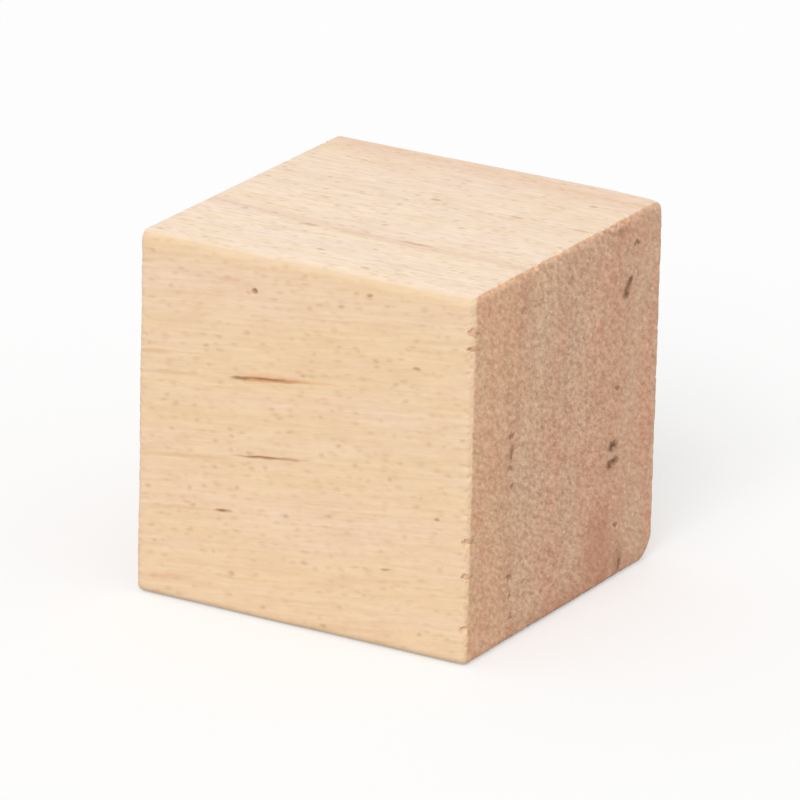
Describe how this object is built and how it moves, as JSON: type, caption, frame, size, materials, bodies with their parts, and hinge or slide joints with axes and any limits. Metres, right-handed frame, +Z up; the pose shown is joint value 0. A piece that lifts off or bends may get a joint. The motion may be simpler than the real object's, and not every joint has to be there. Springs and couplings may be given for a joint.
{
  "type": "wooden cube",
  "caption": "Plain pine craft cube with softened edges and sawn end grain on two faces, for stacking, counting, painting or gluing.",
  "frame": {"origin": "middle of the face that the cube rests on", "axes": "+Z up, X along the grain with sawn end grain on the two X faces, -Y the front face"},
  "size_m": [0.04, 0.04, 0.04],
  "materials": {
    "pine": "bare pine, planed along the grain and sawn across it, fine sanded, no lacquer"
  },
  "bodies": {
    "root": {"cube": "pine"}
  },
  "joints": []
}
